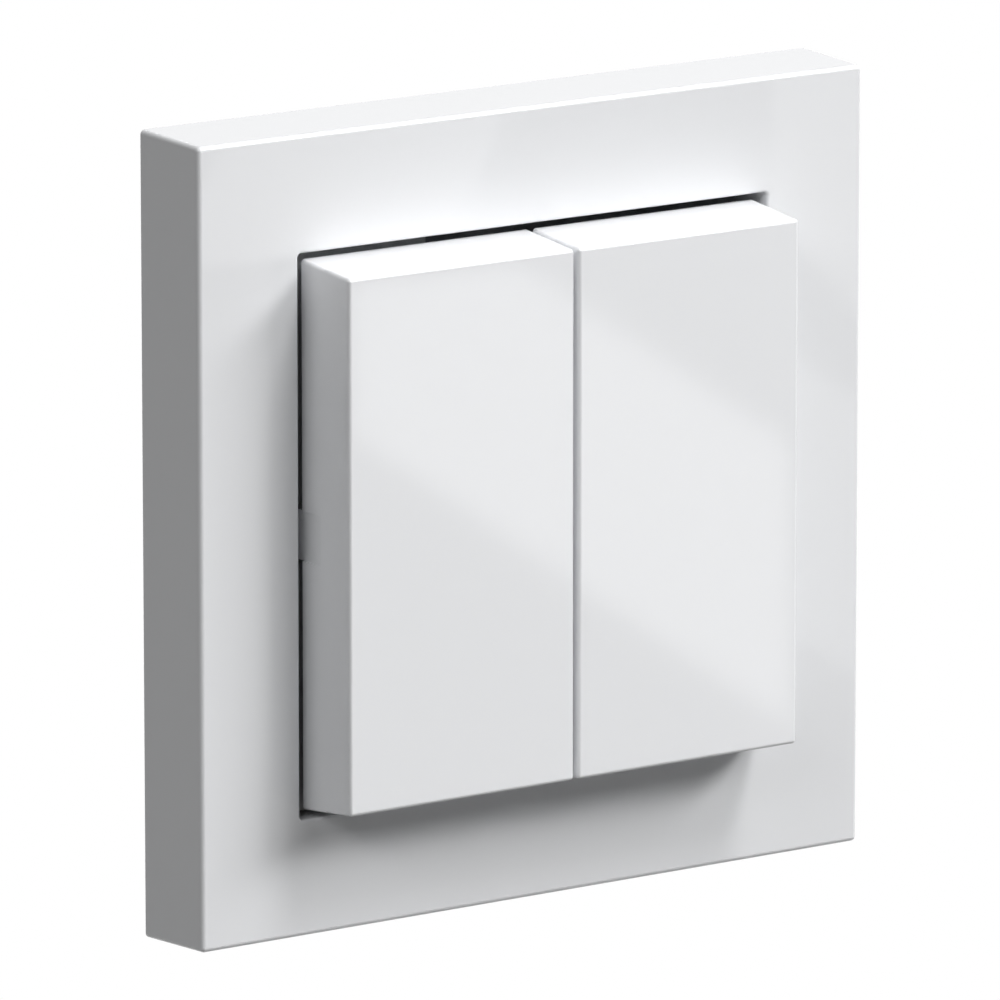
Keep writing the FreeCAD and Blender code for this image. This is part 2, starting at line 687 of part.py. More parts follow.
def make_contact_mat(side):
    """A silicone strip with two domes, hollow underneath."""
    x = side * island_mid
    half_y = inside_y - MAT_END
    strip_body = plate(MAT_HALF_WIDTH, half_y, MAT_CORNER_R, board_front, mat_front)
    strip_body.translate(Vector(x, 0, 0))
    shoulder = dome_front - DOME_KEY
    inner_top = shoulder - DOME_WEB
    domes = []
    hollows = []
    for side_y in SIDES:
        y = side_y * plunger_y
        domes.append(turned([(0, board_front), (DOME_R, board_front), (DOME_R, mat_front),
                             (DOME_TOP_R, shoulder), (DOME_TOP_R, dome_front), (0, dome_front)], x, y))
        hollows.append(turned([(0, board_front), (DOME_R - DOME_WEB, board_front),
                               (DOME_R - DOME_WEB, mat_front - DOME_WEB / 2), (DOME_TOP_R, inner_top),
                               (PILL_R, inner_top), (PILL_R, pill_front), (0, pill_front)], x, y))
    return fused([strip_body] + domes).cut(Part.makeCompound(hollows))


def make_contact_pill(side_x, side_y):
    """The conductive pill under a dome."""
    return disc(side_x * island_mid, side_y * plunger_y, PILL_R, pill_back, pill_front)


def make_plunger(side_x, side_y):
    """A turned pin with a collar under the roof of the case."""
    outline = [
        (0, dome_front),
        (PLUNGER_TIP_R, dome_front),
        (PLUNGER_TIP_R, collar_back),
        (PLUNGER_COLLAR_R, collar_back),
        (PLUNGER_COLLAR_R, collar_front),
        (PLUNGER_R, collar_front),
        (PLUNGER_R, plunger_front - PLUNGER_CHAMFER),
        (PLUNGER_R - PLUNGER_CHAMFER, plunger_front),
        (0, plunger_front),
    ]
    return turned(outline, side_x * island_mid, side_y * plunger_y)


def make_rocker(side):
    """A rocker: a drafted shell with hinge ears, feet for the plungers and stiffening ribs."""
    gap = side * ROCKER_GAP / 2
    back_x, back_y = rocker_outline(0, rocker_back)
    front_x, front_y = rocker_outline(0, rocker_front)
    body = tapered((gap, side * back_x, -back_y, back_y), (gap, side * front_x, -front_y, front_y),
                   rocker_back, rocker_front)
    rounded = [e for e in body.Edges if e.BoundBox.ZMax > rocker_front - 1e-3]
    body = body.makeFillet(ROCKER_EDGE_R, rounded)
    inner_gap = gap + side * ROCKER_WALL
    hollow_back_x, hollow_back_y = rocker_outline(ROCKER_WALL, rocker_back)
    hollow_front_x, hollow_front_y = rocker_outline(ROCKER_WALL, rocker_inner)
    hollow = tapered((inner_gap, side * hollow_back_x, -hollow_back_y, hollow_back_y),
                     (inner_gap, side * hollow_front_x, -hollow_front_y, hollow_front_y),
                     rocker_back, rocker_inner)
    rib_back = rocker_inner - ROCKER_RIB_HEIGHT
    ribs = []
    for y in (-ROCKER_RIB_Y, ROCKER_RIB_Y):
        ribs.append(box(inner_gap, side * hollow_front_x, y - ROCKER_RIB_WIDTH / 2, y + ROCKER_RIB_WIDTH / 2,
                        rib_back, rocker_inner))
    for x in (island_mid - ROCKER_RIB_X, island_mid + ROCKER_RIB_X):
        ribs.append(box(side * (x - ROCKER_RIB_WIDTH / 2), side * (x + ROCKER_RIB_WIDTH / 2),
                        -hollow_front_y, hollow_front_y, rib_back, rocker_inner))
    foot_z = plunger_front + FOOT_CLEAR + FOOT_R
    foot_x0 = side * (island_mid - FOOT_LENGTH / 2)
    foot_x1 = side * (island_mid + FOOT_LENGTH / 2)
    for side_y in SIDES:
        y = side_y * plunger_y
        ribs.append(bar(foot_x0, foot_x1, FOOT_R, y, foot_z))
        ribs.append(box(foot_x0, foot_x1, y - FOOT_R, y + FOOT_R, foot_z, rocker_inner))
    body = body.cut(hollow.cut(Part.makeCompound(ribs)))
    return add_ears(body, side)


def add_ears(body, side):
    """Add the outer and inner hinge ears of a rocker, with their blind holes."""
    half = EAR_WIDTH / 2
    outer_face = rocker_x - EAR_INSET
    recess_front = rocker_back + EAR_RECESS_LENGTH
    recess = [(outer_face, rocker_back), (rocker_x + EAR_INSET, rocker_back),
              (rocker_x + EAR_INSET, recess_front), (rocker_outline(0, recess_front)[0], recess_front)]
    corners = [Vector(side * x, -half, z) for x, z in recess]
    wedge = Part.Face(Part.makePolygon(corners + corners[:1])).extrude(Vector(0, EAR_WIDTH, 0))
    body = body.cut(wedge)
    ear_front = pivot_z + PIN_R + ROCKER_WALL
    ear = box(side * ear_face, side * outer_face, -half, half, pivot_z - EAR_REACH, ear_front)
    ends = [e for e in ear.Edges if abs(e.BoundBox.ZMax - (pivot_z - EAR_REACH)) < 1e-3
            and e.BoundBox.XLength > EAR_INSET]
    ear = ear.makeFillet(EAR_CORNER_R, ends)
    ear = ear.cut(box(side * outer_face, side * (outer_face - EAR_INSET), -half, half,
                      rocker_back, ear_front))
    inner_face = ROCKER_GAP / 2 + INNER_EAR_INSET
    inner_half = INNER_EAR_WIDTH / 2
    inner_ear = box(side * inner_face, side * (inner_face + INNER_EAR_THICKNESS), -inner_half, inner_half,
                    pivot_z - INNER_EAR_REACH, ear_front)
    body = fused([body, ear, inner_ear])
    deep = PIN_ENGAGED + PIN_END_CLEAR
    hole = bar(side * ear_face, side * (ear_face + deep), PIN_R + PIN_RUNNING, 0, pivot_z)
    inner_deep = INNER_PIN_ENGAGED + PIN_END_CLEAR
    inner_mouth = inner_face + INNER_EAR_THICKNESS
    inner_hole = bar(side * inner_mouth, side * (inner_mouth - inner_deep),
                     INNER_PIN_R + PIN_RUNNING, 0, pivot_z)
    return body.cut(Part.makeCompound([hole, inner_hole]))


def stood_up(shape):
    """The piece turned from lying on its back to hanging on the wall."""
    upright = shape.copy()
    upright.rotate(Vector(0, 0, 0), Vector(1, 0, 0), 90)
    return upright


pieces = {
    "cover_frame": make_cover_frame(),
    "mounting_plate": make_mounting_plate(),
    "adhesive_pads": make_adhesive_pads(),
    "module_front_case": make_module_front_case(),
    "module_rear_cover": make_module_rear_cover(),
    "case_screws": make_case_screws(),
    "battery_cover": make_battery_cover(),
    "coin_cell": make_coin_cell(),
    "battery_holder": make_battery_holder(),
    "battery_plus_contact": make_battery_plus_contact(),
    "battery_minus_contact": make_battery_minus_contact(),
    "circuit_board": make_circuit_board(),
    "radio_chip": on_board(CHIP_X, CHIP_Y, CHIP_SIZE, CHIP_SIZE, CHIP_HEIGHT),
    "crystal": on_board(CHIP_X + CHIP_SIZE / 2 + CRYSTAL_GAP + CRYSTAL_WIDTH / 2, CHIP_Y,
                        CRYSTAL_WIDTH, CRYSTAL_LENGTH, CRYSTAL_HEIGHT),
    "chip_components": make_chip_components(),
    "antenna_wire": make_antenna_wire(),
}
for side_name, side_x in (("left", -1), ("right", 1)):
    pieces[side_name + "_rocker"] = make_rocker(side_x)
    pieces[side_name + "_contact_mat"] = make_contact_mat(side_x)
    for level_name, side_y in (("lower", -1), ("upper", 1)):
        name = side_name + "_" + level_name
        pieces[name + "_plunger"] = make_plunger(side_x, side_y)
        pieces[name + "_contact_pill"] = make_contact_pill(side_x, side_y)

os.makedirs("parts", exist_ok=True)
for name, shape in pieces.items():
    stood_up(shape).exportStep("parts/" + name + ".step")
    print(name, len(shape.Solids), "solids", round(shape.Volume, 1), "mm3", "valid", shape.isValid())
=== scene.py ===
# %% [markdown]
# # A wireless wall switch in glossy white plastic
# The model comes ready made at its real size, one mesh per piece. This lesson dresses it: every
# piece gets the finish of the plastic, metal or rubber it is made of, the fine parts that a CAD
# model leaves out are modelled here, and a product photographer's white studio is built around it.

# %% Load the pieces
import math

import bmesh
import bpy
from mathutils import Matrix, Vector


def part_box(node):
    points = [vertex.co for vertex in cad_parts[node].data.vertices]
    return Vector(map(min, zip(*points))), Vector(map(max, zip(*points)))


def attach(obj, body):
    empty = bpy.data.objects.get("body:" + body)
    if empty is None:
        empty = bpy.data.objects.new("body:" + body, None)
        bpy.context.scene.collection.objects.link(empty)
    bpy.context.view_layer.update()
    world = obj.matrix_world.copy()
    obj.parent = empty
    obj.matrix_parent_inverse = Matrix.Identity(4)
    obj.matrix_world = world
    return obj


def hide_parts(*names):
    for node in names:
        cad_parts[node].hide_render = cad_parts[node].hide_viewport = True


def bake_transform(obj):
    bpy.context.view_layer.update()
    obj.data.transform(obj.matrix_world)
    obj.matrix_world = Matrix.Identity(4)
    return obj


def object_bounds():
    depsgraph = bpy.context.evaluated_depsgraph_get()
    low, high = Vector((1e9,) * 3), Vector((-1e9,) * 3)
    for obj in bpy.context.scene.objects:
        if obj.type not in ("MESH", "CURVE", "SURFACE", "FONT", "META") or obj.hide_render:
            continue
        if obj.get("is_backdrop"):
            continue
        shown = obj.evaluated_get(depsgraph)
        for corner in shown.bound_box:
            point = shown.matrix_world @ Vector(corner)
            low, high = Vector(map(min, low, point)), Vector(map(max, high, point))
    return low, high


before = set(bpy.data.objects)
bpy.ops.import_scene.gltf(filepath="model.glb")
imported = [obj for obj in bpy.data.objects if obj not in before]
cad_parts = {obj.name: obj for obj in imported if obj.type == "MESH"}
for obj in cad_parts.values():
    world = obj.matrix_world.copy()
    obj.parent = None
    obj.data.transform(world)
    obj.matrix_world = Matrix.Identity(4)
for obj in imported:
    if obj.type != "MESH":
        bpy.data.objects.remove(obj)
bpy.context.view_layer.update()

# %% [markdown]
# ## The camera
# A product picture like this one is taken with a long lens from over a metre away, so that the
# square frame stays nearly square. The camera stands to the left of the switch and a little above
# it. Its place is worked out from two angles and a distance, which is easier to adjust than three
# coordinates.

# %% Camera
MM = 0.001
CAMERA_TURN = math.radians(-35.26)
CAMERA_RISE = math.radians(12.14)
CAMERA_DISTANCE = 1.136
LENS_MM = 412.7
SENSOR_MM = 36.0
NEAREST = 0.05
FARTHEST = 30.0
AIM = Vector((-1.8, -6.0, -0.04)) * MM


def outward(turn, rise):
    """The direction from the switch towards a place round it, from two angles."""
    level = math.cos(rise)
    return Vector((math.sin(turn) * level, -math.cos(turn) * level, math.sin(rise)))


def add_object(name, data):
    """Put a new object into the scene."""
    thing = bpy.data.objects.new(name, data)
    bpy.context.scene.collection.objects.link(thing)
    return thing


away = outward(CAMERA_TURN, CAMERA_RISE)
camera_data = bpy.data.cameras.new("camera")
camera_data.lens = LENS_MM
camera_data.sensor_width = SENSOR_MM
camera_data.clip_start = NEAREST
camera_data.clip_end = FARTHEST
camera = add_object("camera", camera_data)
camera.location = AIM + away * CAMERA_DISTANCE
camera.rotation_mode = "QUATERNION"
camera.rotation_quaternion = (-away).to_track_quat("-Z", "Y")
bpy.context.scene.camera = camera
bpy.context.scene.view_settings.view_transform = "Standard"
print("camera at", [round(v, 4) for v in camera.location])

# %% [markdown]
# ## Helpers for finishes
# Colours are written as the hex values a designer would pick on screen. Shaders want linear light,
# so one function converts them. A second small function adds a node, sets it up and links it, and
# that is enough to build every material below. Two patterns come back in many finishes, so they
# are written once: dents of a given size and depth, and clouds that drift between two tones.

# %% Colour and node helpers
def linear(hex_colour):
    """The linear colour of an sRGB hex value, by the sRGB standard's own curve."""
    values = []
    for start in (0, 2, 4):
        v = int(hex_colour[start:start + 2], 16) / 255
        values.append(v / 12.92 if v <= 0.04045 else ((v + 0.055) / 1.055) ** 2.4)
    return (*values, 1.0)


def add_node(tree, kind, links=(), inputs=(), **settings):
    """Add a node with its settings, links and input values. Both lists hold pairs, input first."""
    node = tree.nodes.new(kind)
    for name, value in settings.items():
        setattr(node, name, value)
    for name, value in inputs:
        node.inputs[name].default_value = value
    for name, socket in links:
        tree.links.new(socket, node.inputs[name])
    return node


class Finish:
    """A material with one shader, named for what the surface really is."""

    def __init__(self, name, colour, roughness, metallic=0.0, ior=1.5):
        self.material = bpy.data.materials.new(name)
        self.material.use_nodes = True
        self.tree = self.material.node_tree
        self.shader = self.tree.nodes["Principled BSDF"]
        self.shader.inputs["Base Color"].default_value = linear(colour)
        self.shader.inputs["Roughness"].default_value = roughness
        self.shader.inputs["Metallic"].default_value = metallic
        self.shader.inputs["IOR"].default_value = ior
        self.place = self.add("ShaderNodeTexCoord").outputs["Object"]

    def add(self, kind, links=(), inputs=(), **settings):
        return add_node(self.tree, kind, links, inputs, **settings)

    def drive(self, socket_name, socket):
        self.tree.links.new(socket, self.shader.inputs[socket_name])

    def dent(self, size_mm, depth_mm, detail=2.0, strength=1.0):
        """Cover the surface with dents of a size and a depth."""
        noise = self.add("ShaderNodeTexNoise", [("Vector", self.place)],
                         [("Scale", 1 / (size_mm * MM)), ("Detail", detail)])
        bump = self.add("ShaderNodeBump", [("Height", noise.outputs["Fac"])],
                        [("Strength", strength), ("Distance", depth_mm * MM)])
        self.drive("Normal", bump.outputs["Normal"])

    def cloud(self, size_mm, tones, detail=2.0):
        """Let the colour drift in patches of a size. Each of the two tones comes with its level."""
        noise = self.add("ShaderNodeTexNoise", [("Vector", self.place)],
                         [("Scale", 1 / (size_mm * MM)), ("Detail", detail)])
        ramp = self.add("ShaderNodeValToRGB", [("Fac", noise.outputs["Fac"])])
        for element, (level, tone) in zip(ramp.color_ramp.elements, tones):
            element.position = level
            element.color = linear(tone)
        self.drive("Base Color", ramp.outputs["Color"])
        return noise.outputs["Fac"]

    def show(self, socket):
        """Put another shader than the first one on the surface."""
        self.tree.links.new(socket, self.tree.nodes["Material Output"].inputs["Surface"])


def wear(finish, *nodes):
    """Give CAD pieces their finish."""
    for node in nodes:
        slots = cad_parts[node].data.materials
        slots.clear()
        slots.append(finish.material)


print("a mid grey in linear light:", round(linear("808080")[0], 3))

# %% [markdown]
# ## Glossy white plastic
# The frame and the rockers are ABS, moulded in a polished tool. Polishing a tool's front is worth
# the work, while its drafted side walls keep a fine spark-eroded grain, so that the part lets go
# of the steel. The eye reads this as a mirror-like front and slightly softer sides. The front is
# told from the sides by the surface's own direction in the object, so it holds from any viewpoint.
# The real grain is about 0.05 mm across, which is too fine to show, so it is drawn at 0.16 mm.
# Every centimetre or so the plastic also sinks by a few ten-thousandths of a millimetre as it
# cools, which a long bump wave gives.

# %% Polished white ABS
ABS_IOR = 1.54
FRONT_UNTIL = -0.97
SIDE_FROM = -0.6
SPARK_GRAIN_MM = 0.16
SPARK_DEPTH_MM = 0.004
SHRINK_WAVE_MM = 9.0
SHRINK_DEPTH_MM = 0.0004


def polished_abs(name, colour, front_roughness, side_roughness):
    """Polished in front, where the Y of the surface's direction is near -1, grained elsewhere."""
    finish = Finish(name, colour, front_roughness, ior=ABS_IOR)
    facing = finish.add("ShaderNodeTexCoord").outputs["Normal"]
    split = finish.add("ShaderNodeSeparateXYZ", [("Vector", facing)])
    side = finish.add("ShaderNodeMapRange", [("Value", split.outputs["Y"])],
                      [("From Min", FRONT_UNTIL), ("From Max", SIDE_FROM)],
                      interpolation_type="SMOOTHSTEP")
    gloss = finish.add("ShaderNodeMapRange", [("Value", side.outputs["Result"])],
                       [("To Min", front_roughness), ("To Max", side_roughness)])
    finish.drive("Roughness", gloss.outputs["Result"])
    spark = finish.add("ShaderNodeTexNoise", [("Vector", finish.place)],
                       [("Scale", 1 / (SPARK_GRAIN_MM * MM)), ("Detail", 2.0)])
    fine = finish.add("ShaderNodeMath", [(0, spark.outputs["Fac"]), (1, side.outputs["Result"])],
                      operation="MULTIPLY")
    wave = finish.add("ShaderNodeTexNoise", [("Vector", finish.place)],
                      [("Scale", 1 / (SHRINK_WAVE_MM * MM)), ("Detail", 0.0)])
    slow = finish.add("ShaderNodeBump", [("Height", wave.outputs["Fac"])],
                      [("Strength", 1.0), ("Distance", SHRINK_DEPTH_MM * MM)])
    rough = finish.add("ShaderNodeBump",
                       [("Height", fine.outputs[0]), ("Normal", slow.outputs["Normal"])],
                       [("Strength", 1.0), ("Distance", SPARK_DEPTH_MM * MM)])
    finish.drive("Normal", rough.outputs["Normal"])
    return finish


frame_white = polished_abs("polished_white_abs_of_the_frame", "eaebed",
                           front_roughness=0.02, side_roughness=0.16)
rocker_white = polished_abs("polished_white_abs_of_the_rockers", "f1f2f4",
                            front_roughness=0.03, side_roughness=0.16)
wear(frame_white, "cover_frame")
wear(rocker_white, "left_rocker", "right_rocker")
print("white finishes:", frame_white.material.name, rocker_white.material.name)

# %% [markdown]
# ## Grey technical plastics
# The plate on the wall and the module's case are never looked at on purpose. They are glass-filled
# polyamide in plain greys, grained all over, which hides scratches and never shines in the gaps
# round the rockers. A polished grey would catch the lamps there and draw the eye. Two noises do
# it: one for the grain, and one for the faint cloudiness that the glass fibres leave. The ring
# that holds the cell is the same plastic in black.

# %% Grained polyamide
POLYAMIDE_IOR = 1.53
GRAINED_ROUGHNESS = 0.55
CLOUD_MM = 6.0


def grained_polyamide(name, colour, cloud_colour, grain_mm, depth_mm):
    """Grained all over, with faint clouds."""
    finish = Finish(name, colour, GRAINED_ROUGHNESS, ior=POLYAMIDE_IOR)
    finish.cloud(CLOUD_MM, [(0.3, colour), (0.75, cloud_colour)], detail=4.0)
    finish.dent(grain_mm, depth_mm, detail=3.0)
    return finish


plate_grey = grained_polyamide("grained_grey_polyamide_of_the_plate", "77797b", "808284",
                               grain_mm=0.35, depth_mm=0.02)
case_grey = grained_polyamide("light_grey_polyamide_of_the_case", "a8aaab", "b0b2b3",
                              grain_mm=0.3, depth_mm=0.015)
cover_grey = grained_polyamide("light_grey_polyamide_of_the_covers", "9b9d9f", "a4a6a8",
                               grain_mm=0.3, depth_mm=0.015)
holder_black = grained_polyamide("black_moulded_cell_holder", "151516", "1b1b1c",
                                 grain_mm=0.2, depth_mm=0.006)
wear(plate_grey, "mounting_plate")
wear(case_grey, "module_front_case")
wear(cover_grey, "module_rear_cover", "battery_cover")
wear(holder_black, "battery_holder")
print("grained finishes: plate, case, covers, cell holder")

# %% [markdown]
# ## Acetal, silicone and carbon
# The plungers slide in their guides all day, so they are natural acetal, which is milky and waxy.
# The mats are silicone, which lets a little light in and has a dusty bloom that makes it duller in
# places. The pills that bridge the contacts are silicone full of carbon, black and quite dull.

# %% Soft and slippery plastics
acetal = Finish("natural_acetal_of_the_plungers", "e7e6df", 0.38, ior=1.48)
acetal.shader.inputs["Subsurface Weight"].default_value = 0.15
acetal.shader.inputs["Subsurface Radius"].default_value = (1.2 * MM, 1.1 * MM, 1.0 * MM)
acetal.dent(size_mm=0.4, depth_mm=0.004)

silicone = Finish("translucent_silicone_of_the_mats", "bfc4c8", 0.5, ior=1.41)
silicone.shader.inputs["Subsurface Weight"].default_value = 0.5
silicone.shader.inputs["Subsurface Radius"].default_value = (1.5 * MM, 1.5 * MM, 1.6 * MM)
BLOOM_MM = 3.0
bloom = silicone.add("ShaderNodeTexNoise", [("Vector", silicone.place)],
                     [("Scale", 1 / (BLOOM_MM * MM)), ("Detail", 3.0)])
dusty = silicone.add("ShaderNodeMapRange", [("Value", bloom.outputs["Fac"])],
                     [("To Min", 0.4), ("To Max", 0.62)])
silicone.drive("Roughness", dusty.outputs["Result"])

carbon = Finish("carbon_filled_silicone_of_the_pills", "18181a", 0.75, ior=1.5)
carbon.dent(size_mm=0.12, depth_mm=0.006)

SIDES = ("left", "right")
LEVELS = ("upper", "lower")
for side in SIDES:
    for level in LEVELS:
        wear(acetal, side + "_" + level + "_plunger")
print("acetal, silicone and carbon finishes made")

# %% [markdown]
# ## Foam tape
# The four pads are white polyethylene foam. Its closed cells are about 0.4 mm across, and a Voronoi
# pattern is just that: round cells with thin walls between them.

# %% Closed-cell foam
FOAM_CELL_MM = 0.4
FOAM_DEPTH_MM = 0.05
foam = Finish("white_polyethylene_foam_tape", "e8e7e2", 0.85, ior=1.5)
cells = foam.add("ShaderNodeTexVoronoi", [("Vector", foam.place)],
                 [("Scale", 1 / (FOAM_CELL_MM * MM))])
foam_bump = foam.add("ShaderNodeBump", [("Height", cells.outputs["Distance"])],
                     [("Strength", 1.0), ("Distance", FOAM_DEPTH_MM * MM)])
foam.drive("Normal", foam_bump.outputs["Normal"])
wear(foam, "adhesive_pads")
print("foam pads finished")

# %% [markdown]
# ## Metals
# The case screws are zinc plated steel: a bright, slightly blue grey with cloudy patches from the
# bath. The cell is nickel plated and drawn, the contacts are tinned bronze, the crystal sits in a
# pressed nickel-silver can, and the aerial is copper under clear enamel. All are metals with full
# metallic. What tells them apart is their tint and how evenly they shine.

# %% Metals
def plated(name, dull_hex, bright_hex, patch_mm, roughness_low, roughness_high):
    """Metal with patches that are bright and smooth in one place, dull and rough in another."""
    finish = Finish(name, bright_hex, roughness_low, metallic=1.0)
    patches = finish.cloud(patch_mm, [(0.35, dull_hex), (0.65, bright_hex)], detail=5.0)
    shine = finish.add("ShaderNodeMapRange", [("Value", patches)],
                       [("To Min", roughness_high), ("To Max", roughness_low)])
    finish.drive("Roughness", shine.outputs["Result"])
    return finish


zinc = plated("zinc_plated_steel_of_the_screws", "aeb0b3", "cfd1d4", 0.8, 0.22, 0.42)
nickel = plated("nickel_plated_steel_of_the_cell", "bdbbb4", "d2d0ca", 2.5, 0.16, 0.3)
tinned = plated("tinned_bronze_of_the_contacts", "b9b5a6", "d6d2c4", 1.0, 0.2, 0.35)
can_metal = plated("nickel_silver_of_the_crystal_can", "b5b1a4", "cdc9bd", 1.2, 0.25, 0.4)
copper = plated("enamelled_copper_of_the_aerial", "a0522d", "b8683c", 1.5, 0.15, 0.3)
solder = plated("soft_solder", "a9abad", "c8cacc", 0.4, 0.15, 0.4)
wear(zinc, "case_screws")
wear(nickel, "coin_cell")
wear(tinned, "battery_plus_contact", "battery_minus_contact")
wear(can_metal, "crystal")
wear(copper, "antenna_wire")
print("metals finished")

# %% [markdown]
# ## Board and components
# A circuit board is glass cloth in resin under a green varnish. The copper tracks lie under the
# varnish and show as lighter lines. A brick pattern whose bricks are long and thin gives runs of
# parallel tracks, 0.25 mm wide and 1 mm apart, with breaks where they end. The chip is black
# epoxy with the matt skin of its mould, and the small components are fired ceramic.

# %% Board, chip and ceramic
TRACK_PITCH_MM = 1.0
TRACK_WIDTH_MM = 0.25
TRACK_RUN_MM = 7.5
COPPER_MM = 0.035
board_green = Finish("green_solder_mask_on_glass_epoxy", "1c5b36", 0.32, ior=1.52)
upright = board_green.add("ShaderNodeMapping", [("Vector", board_green.place)],
                          [("Rotation", (math.radians(90), 0, 0))])
tracks = board_green.add(
    "ShaderNodeTexBrick", [("Vector", upright.outputs["Vector"])],
    [("Color1", linear("1c5b36")), ("Color2", linear("1f6139")), ("Mortar", linear("2f8450")),
     ("Scale", 1 / MM), ("Mortar Size", TRACK_WIDTH_MM / 2), ("Brick Width", TRACK_RUN_MM),
     ("Row Height", TRACK_PITCH_MM)])
board_green.drive("Base Color", tracks.outputs["Color"])
track_bump = board_green.add("ShaderNodeBump", [("Height", tracks.outputs["Fac"])],
                             [("Strength", 1.0), ("Distance", COPPER_MM * MM)])
board_green.drive("Normal", track_bump.outputs["Normal"])

epoxy = Finish("black_moulded_epoxy_of_the_chip", "1b1b1d", 0.48, ior=1.55)
epoxy.dent(size_mm=0.1, depth_mm=0.004)

ceramic = Finish("fired_ceramic_of_the_small_components", "8d7558", 0.45, ior=1.6)
ceramic.cloud(0.5, [(0.0, "7f684c"), (1.0, "9c8364")])
wear(board_green, "circuit_board")
wear(epoxy, "radio_chip")
wear(ceramic, "chip_components")
print("board, chip and ceramic finished")

# %% [markdown]
# ## Tinned caps
# A small component is known by its ends: the ceramic blocks have a tinned cap at both. The blocks
# are one CAD piece, so their places are found by walking through its mesh from corner to corner.
# A cap is a block with rounded edges, a touch larger than what it wraps. A bevel does all the
# edges of a mesh in one step, so the blocks of one metal share one mesh.

# %% Caps
CAP_LENGTH = 0.32 * MM
CAP_SKIN = Vector((0.02, 0.02, 0.02)) * MM
EDGE_ROUND = 0.04 * MM
JOIN = 0.001 * MM
UP = Vector((0, 0, 1))
RIGHT = Vector((1, 0, 0))


def copy_of(node):
    """A shape with a CAD piece's corners, joined where they coincide."""
    shape = bmesh.new()
    shape.from_mesh(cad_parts[node].data)
    bmesh.ops.remove_doubles(shape, verts=shape.verts, dist=JOIN)
    return shape


def loose_parts(node):
    """The lowest and the highest corner of each separate solid of a CAD piece."""
    shape = copy_of(node)
    shape.verts.index_update()
    seen = set()
    boxes = []
    for start in shape.verts:
        if start.index in seen:
            continue
        seen.add(start.index)
        part = [start]
        for corner in part:
            for edge in corner.link_edges:
                other = edge.other_vert(corner)
                if other.index not in seen:
                    seen.add(other.index)
                    part.append(other)
        boxes.append([Vector([pick(corner.co[i] for corner in part) for i in range(3)])
                      for pick in (min, max)])
    shape.free()
    return boxes


def add_block(shape, low, high):
    """Add a block between two corners."""
    for corner in bmesh.ops.create_cube(shape, size=1.0)["verts"]:
        corner.co = Vector([low[i] if corner.co[i] < 0 else high[i] for i in range(3)])


def new_piece(name, shape, finish):
    """Make a piece from a shape and give it its finish."""
    bmesh.ops.recalc_face_normals(shape, faces=shape.faces)
    mesh = bpy.data.meshes.new(name)
    shape.to_mesh(mesh)
    shape.free()
    mesh.materials.append(finish.material)
    piece = add_object(name, mesh)
    print(name, "faces:", len(mesh.polygons))
    return piece


board_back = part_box("circuit_board")[1].y
blocks = loose_parts("chip_components")
caps = bmesh.new()
for low, high in blocks:
    low_end = Vector((high.x, high.y, low.z + CAP_LENGTH))
    high_end = Vector((low.x, low.y, high.z - CAP_LENGTH))
    add_block(caps, low - CAP_SKIN, low_end + CAP_SKIN)
    add_block(caps, high_end - CAP_SKIN, high + CAP_SKIN)
bmesh.ops.bevel(caps, geom=caps.edges[:], offset=EDGE_ROUND, segments=2, affect="EDGES")
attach(new_piece("component_end_caps", caps, tinned), "base")

# %% [markdown]
# ## Leads of the chip
# The chip stands on a row of short leads under each of its four edges, nine to a row and 0.65 mm
# apart. A lead is the same kind of block as a cap, half under the chip and half past its edge.
# Where each lead ends is kept in a list, because the solder goes there.

# %% Leads
LEAD_PITCH = 0.65 * MM
LEAD_HALF = 0.14 * MM
LEAD_REACH = 0.12 * MM
LEAD_HEIGHT = 0.2 * MM
LEADS_A_SIDE = 9
chip_low, chip_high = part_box("radio_chip")
chip_middle = (chip_low + chip_high) / 2
leads = bmesh.new()
lead_feet = []
for number in range(LEADS_A_SIDE):
    along = (number - (LEADS_A_SIDE - 1) / 2) * LEAD_PITCH
    for out in (RIGHT, -RIGHT, UP, -UP):
        across = Vector((out.z, 0, out.x))
        edge_x = chip_middle.x + out.x * (chip_high.x - chip_low.x) / 2
        edge_z = chip_middle.z + out.z * (chip_high.z - chip_low.z) / 2
        foot = Vector((edge_x, board_back, edge_z)) + across * along
        grown = Vector([LEAD_HALF * abs(a) + LEAD_REACH * abs(o) for a, o in zip(across, out)])
        add_block(leads, foot - grown, foot + grown + Vector((0, LEAD_HEIGHT, 0)))
        lead_feet.append((foot + out * LEAD_REACH, out, across))
bmesh.ops.bevel(leads, geom=leads.edges[:], offset=EDGE_ROUND, segments=2, affect="EDGES")
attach(new_piece("chip_leads", leads, tinned), "base")

# %% [markdown]
# ## Solder
# Molten solder climbs a little way up whatever it wets and sets in a hollow curve. One small
# profile draws that curve. Pulled sideways it gives the wedge at a cap or a foot, and turned round
# a wire it gives the collar at its end. Both are closed shapes, so they would also print or weigh
# correctly.

# %% Wedges and collars
SOLDER_STEPS = 5
COLLAR_STEPS = 24
OFF_BOARD = Vector((0, 1, 0))


def hollow_curve(reach, climb):
    """The outline of a solder joint, as distances along the board and off it."""
    points = [(0.0, 0.0)]
    for step in range(SOLDER_STEPS + 1):
        turn = math.pi / 2 * step / SOLDER_STEPS
        points.append((reach * (1 - math.cos(turn)), climb * (1 - math.sin(turn))))
    return points


def close_rows(shape, rows, ring):
    """Join rows of points with faces, round in a ring or with a face at both ends."""
    corners = [[shape.verts.new(point) for point in row] for row in rows]
    pairs = list(zip(corners, corners[1:]))
    if ring:
        pairs.append((corners[-1], corners[0]))
    else:
        shape.faces.new(corners[0])
        shape.faces.new(corners[-1])
    for row, next_row in pairs:
        for i in range(len(row)):
            shape.faces.new((row[i - 1], row[i], next_row[i], next_row[i - 1]))


